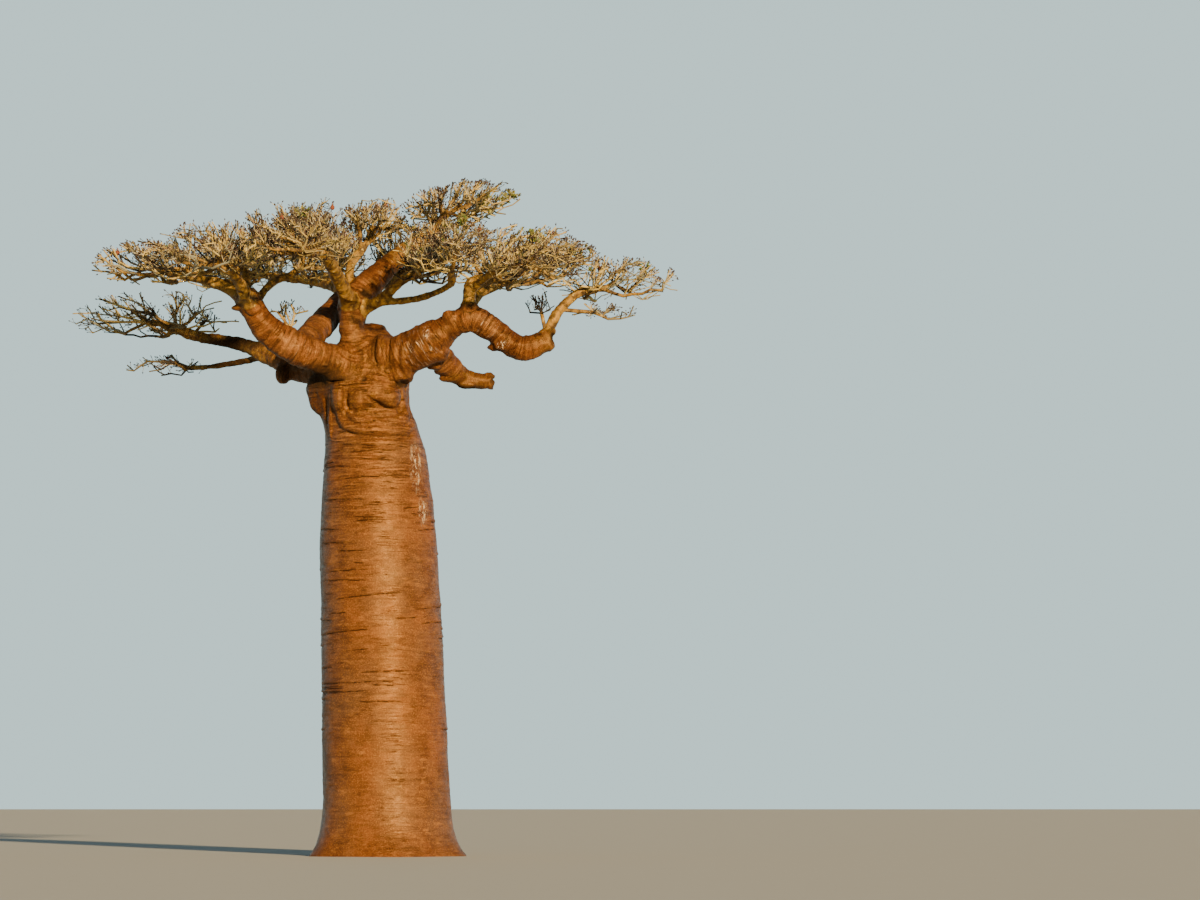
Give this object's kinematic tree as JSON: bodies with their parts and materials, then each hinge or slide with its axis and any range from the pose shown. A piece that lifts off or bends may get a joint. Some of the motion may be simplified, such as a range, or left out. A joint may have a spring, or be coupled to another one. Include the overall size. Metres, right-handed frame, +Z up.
{
  "type": "baobab tree",
  "caption": "Tall bare baobab in its dry season: a thick bottle-like trunk, heavy crooked boughs and a wide flat crown of short twigs, on a flat cut at ground level.",
  "frame": {"origin": "middle of the flat cut under the trunk, at ground level", "axes": "+Z up along the trunk; -Y towards the viewer of the picture; +X to the viewer's right, the side of the low crooked bough"},
  "size_m": [19.8963, 16.4746, 21.6296],
  "materials": {
    "trunk_bark": "smooth satin copper-brown bark with fine cross wrinkles",
    "bough_bark": "smooth satin copper-brown bark with ring wrinkles",
    "twig_bark": "dry pale ochre and grey twig bark"
  },
  "bodies": {
    "root": {"back_bough": "bough_bark", "back_centre_limb": "bough_bark", "back_centre_twigs": "twig_bark", "back_clump_twigs": "twig_bark", "back_far_right_twigs": "twig_bark", "back_left_bough": "bough_bark", "back_left_limb": "bough_bark", "back_left_twigs": "twig_bark", "back_right_bough": "bough_bark", "back_right_riser": "bough_bark", "back_right_twigs": "twig_bark", "broken_stub": "bough_bark", "centre_riser": "bough_bark", "dead_branch_twigs": "twig_bark", "far_right_riser": "bough_bark", "far_right_twigs": "twig_bark", "front_centre_twigs": "twig_bark", "front_far_right_limb": "bough_bark", "front_far_right_twigs": "twig_bark", "front_left_limb": "bough_bark", "front_left_twigs": "twig_bark", "front_limb": "bough_bark", "front_right_twigs": "twig_bark", "inner_bough": "bough_bark", "left_bough": "bough_bark", "left_cross_limb": "bough_bark", "left_lower_limb": "bough_bark", "left_lower_twigs": "twig_bark", "left_lowest_limb": "bough_bark", "left_lowest_twigs": "twig_bark", "left_outer_limb": "bough_bark", "left_riser": "bough_bark", "left_top_inner_twigs": "twig_bark", "left_top_outer_twigs": "twig_bark", "mid_right_inner_twigs": "twig_bark", "mid_right_limb": "bough_bark", "right_bough": "bough_bark", "right_bough_end": "bough_bark", "right_bough_outer": "bough_bark", "right_mid_twigs": "twig_bark", "right_riser": "bough_bark", "riser_clump_twigs": "twig_bark", "slender_limb": "bough_bark", "top_centre_left_twigs": "twig_bark", "top_centre_twigs": "twig_bark", "top_right_twigs": "twig_bark", "trunk": "trunk_bark", "upper_right_bough": "bough_bark", "upright_bough": "bough_bark"}
  },
  "joints": []
}
